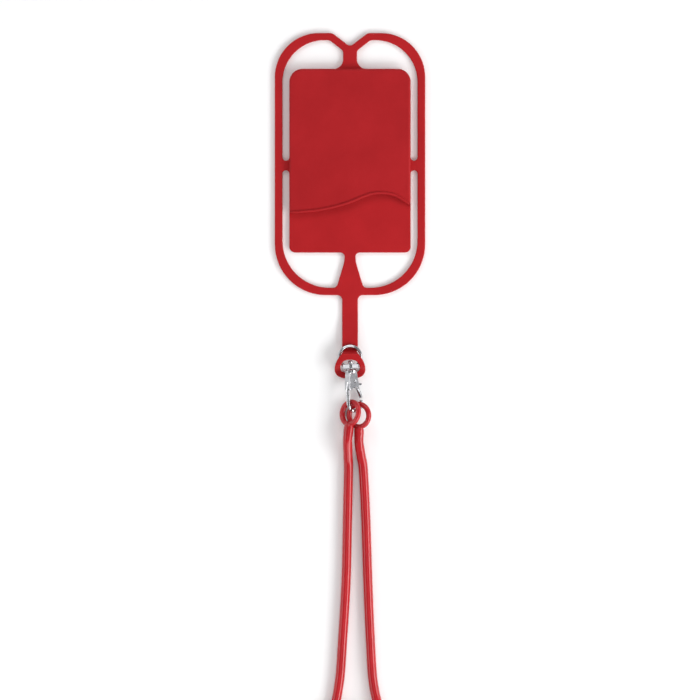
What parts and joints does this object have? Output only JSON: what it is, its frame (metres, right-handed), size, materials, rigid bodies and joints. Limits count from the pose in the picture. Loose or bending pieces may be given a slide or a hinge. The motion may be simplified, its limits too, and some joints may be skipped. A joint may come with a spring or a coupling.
{
  "type": "lanyard phone and card holder",
  "caption": "Silicone stretch frame with a card pocket, hitched by an eyelet strap to a swivel snap hook on a round silicone neck cord.",
  "frame": {"origin": "middle of the flat back of the base plate", "axes": "+Y towards the holder's top, away from the strap; +Z out of the pocket front, up when the holder lies on its back"},
  "size_m": [0.077, 0.4086, 0.0112],
  "materials": {
    "red_silicone": "satin",
    "red_silicone_front": "matte",
    "red_cord_silicone": "glossy",
    "nickel_plate": "polished",
    "spring_steel": "satin"
  },
  "bodies": {
    "holder": {"holder_frame": "red_silicone", "pocket_front": "red_silicone_front"},
    "strap": {"tail_strap": "red_silicone", "swivel_eye": "nickel_plate"},
    "snap_hook": {"swivel_rivet": "nickel_plate", "clasp_body": "nickel_plate", "gate_pin": "spring_steel", "gate_spring": "spring_steel"},
    "gate": {"gate_lever": "nickel_plate"},
    "neck_cord": {"ring_end_left": "red_cord_silicone", "ring_end_right": "red_cord_silicone", "cord_leg_left": "red_cord_silicone", "cord_leg_right": "red_cord_silicone", "cord_coil": "red_cord_silicone"}
  },
  "joints": [
    {"name": "strap_flex", "type": "hinge", "parent": "holder", "child": "strap", "pos_m": [0, -0.073, 0.00075], "axis": [1, 0, 0], "range_deg": [-90, 90]},
    {"name": "hook_swivel", "type": "hinge", "parent": "strap", "child": "snap_hook", "pos_m": [0.00037, -0.10518, 0.00492], "axis": [0.0593, -0.9979, 0.0262], "continuous": true},
    {"name": "gate_open", "type": "hinge", "parent": "snap_hook", "child": "gate", "pos_m": [0.00129, -0.11305, 0.00474], "axis": [-0.6445, -0.0583, -0.7624], "range_deg": [0, 16], "stiffness_Nm_per_rad": 0.01, "springref_deg": -11.46, "deforming": ["gate_spring"]},
    {"name": "cord_swing", "type": "hinge", "parent": "snap_hook", "child": "neck_cord", "pos_m": [0.00475, -0.12768, 0.00446], "axis": [0.7333, 0.048, -0.6782], "range_deg": [-20, 25]}
  ]
}
